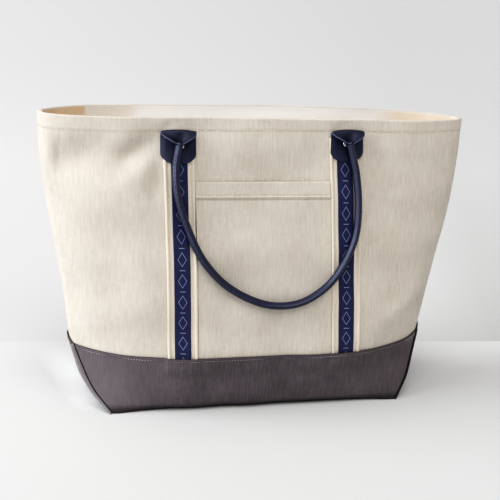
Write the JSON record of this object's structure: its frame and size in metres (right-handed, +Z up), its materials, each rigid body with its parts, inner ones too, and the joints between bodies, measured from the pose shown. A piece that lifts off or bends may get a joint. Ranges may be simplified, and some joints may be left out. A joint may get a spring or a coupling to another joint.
{
  "type": "boat tote",
  "caption": "Open-topped canvas tote with a contrasting canvas base, a front pocket, ribbon-faced webbing straps and rolled leather handles.",
  "frame": {"origin": "middle of the base's underside, on the floor", "axes": "+Z up, the pocket faces -Y, +X to the right as seen from the pocket side"},
  "size_m": [0.5528, 0.2001, 0.372],
  "materials": {
    "cream_canvas": "heavy plain-weave cotton canvas, unbleached",
    "grey_canvas": "heavy cotton canvas, charcoal grey",
    "cream_webbing": "folded cotton canvas strap, unbleached",
    "navy_ribbon": "woven ribbon, navy with small pale marks",
    "navy_leather": "smooth navy leather with cut edges",
    "steel": "polished rivet head"
  },
  "bodies": {
    "root": {"panel_front": "cream_canvas", "panel_back": "cream_canvas", "base": "grey_canvas", "pocket": "cream_canvas", "strap_front_left": "cream_webbing", "strap_front_right": "cream_webbing", "strap_back_left": "cream_webbing", "strap_back_right": "cream_webbing", "ribbon_front_left": "navy_ribbon", "ribbon_front_right": "navy_ribbon", "ribbon_back_left": "navy_ribbon", "ribbon_back_right": "navy_ribbon", "handle_front": "navy_leather", "handle_back": "navy_leather", "rivet_front_left": "steel", "rivet_front_right": "steel", "rivet_back_left": "steel", "rivet_back_right": "steel"}
  },
  "joints": []
}
